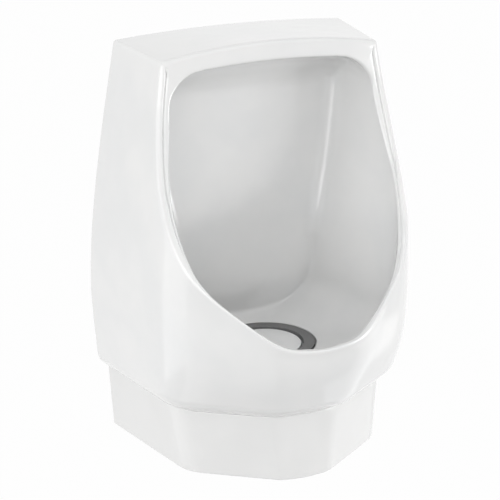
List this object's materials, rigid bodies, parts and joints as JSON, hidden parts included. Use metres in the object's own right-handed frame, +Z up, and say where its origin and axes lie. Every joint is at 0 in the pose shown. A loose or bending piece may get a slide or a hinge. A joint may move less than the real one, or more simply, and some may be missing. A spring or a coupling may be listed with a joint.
{
  "type": "wall-hung urinal",
  "caption": "Wall-hung white china urinal with a deep open bowl, a raked rim, a drop-in drain cartridge under a dark lock ring, and a separate trap cover below.",
  "frame": {"origin": "centre of the drain outlet on the finished wall plane", "axes": "+Z up, +Y out of the back into the wall, +X to the right of a person facing the wall"},
  "size_m": [0.45, 0.3396, 0.615],
  "materials": {
    "china": "white vitreous china, glossy glaze",
    "cover_white": "white moulded plastic, gloss",
    "seal_grey": "soft grey seal strip",
    "bracket_steel": "zinc plated pressed steel",
    "screw_steel": "stainless steel, machined",
    "housing_black": "black moulded plastic, satin",
    "gasket_black": "black rubber",
    "washer_white": "natural slip washer",
    "nut_white": "off-white moulded nut",
    "pipe_grey": "grey drain pipe",
    "sleeve_rubber": "black coupling rubber",
    "clamp_steel": "stainless steel band",
    "flange_white": "white wall trim",
    "ring_metal": "dark satin metal",
    "cartridge_grey": "light grey moulded plastic",
    "cap_grey": "light grey moulded plastic, semi-gloss"
  },
  "bodies": {
    "root": {"china_body": "china", "trap_cover": "cover_white", "cover_seal": "seal_grey", "cover_bracket_left": "bracket_steel", "cover_bracket_right": "bracket_steel", "cover_screws": "screw_steel", "wall_hanger_left": "bracket_steel", "wall_hanger_right": "bracket_steel", "drain_housing": "housing_black", "housing_gasket": "gasket_black", "housing_washer": "washer_white", "housing_lock_nut": "nut_white", "outlet_pipe": "pipe_grey", "coupling_sleeve": "sleeve_rubber", "coupling_clamp_front": "clamp_steel", "coupling_clamp_rear": "clamp_steel", "clamp_screws": "screw_steel", "wall_flange": "flange_white"},
    "cartridge": {"cartridge_cup": "cartridge_grey", "cartridge_baffle": "cartridge_grey", "cartridge_cap": "cap_grey", "cartridge_oring": "gasket_black", "cartridge_seat_gasket": "gasket_black"},
    "lock_ring": {"lock_ring": "ring_metal"}
  },
  "joints": [
    {"name": "cartridge_lift", "type": "slide", "parent": "root", "child": "cartridge", "axis": [0, 0, 1], "range_m": [0, 0.09]},
    {"name": "lock_ring_turn", "type": "hinge", "parent": "cartridge", "child": "lock_ring", "pos_m": [0, -0.1345, 0.075], "axis": [0, 0, 1], "range_deg": [0, 55]}
  ]
}
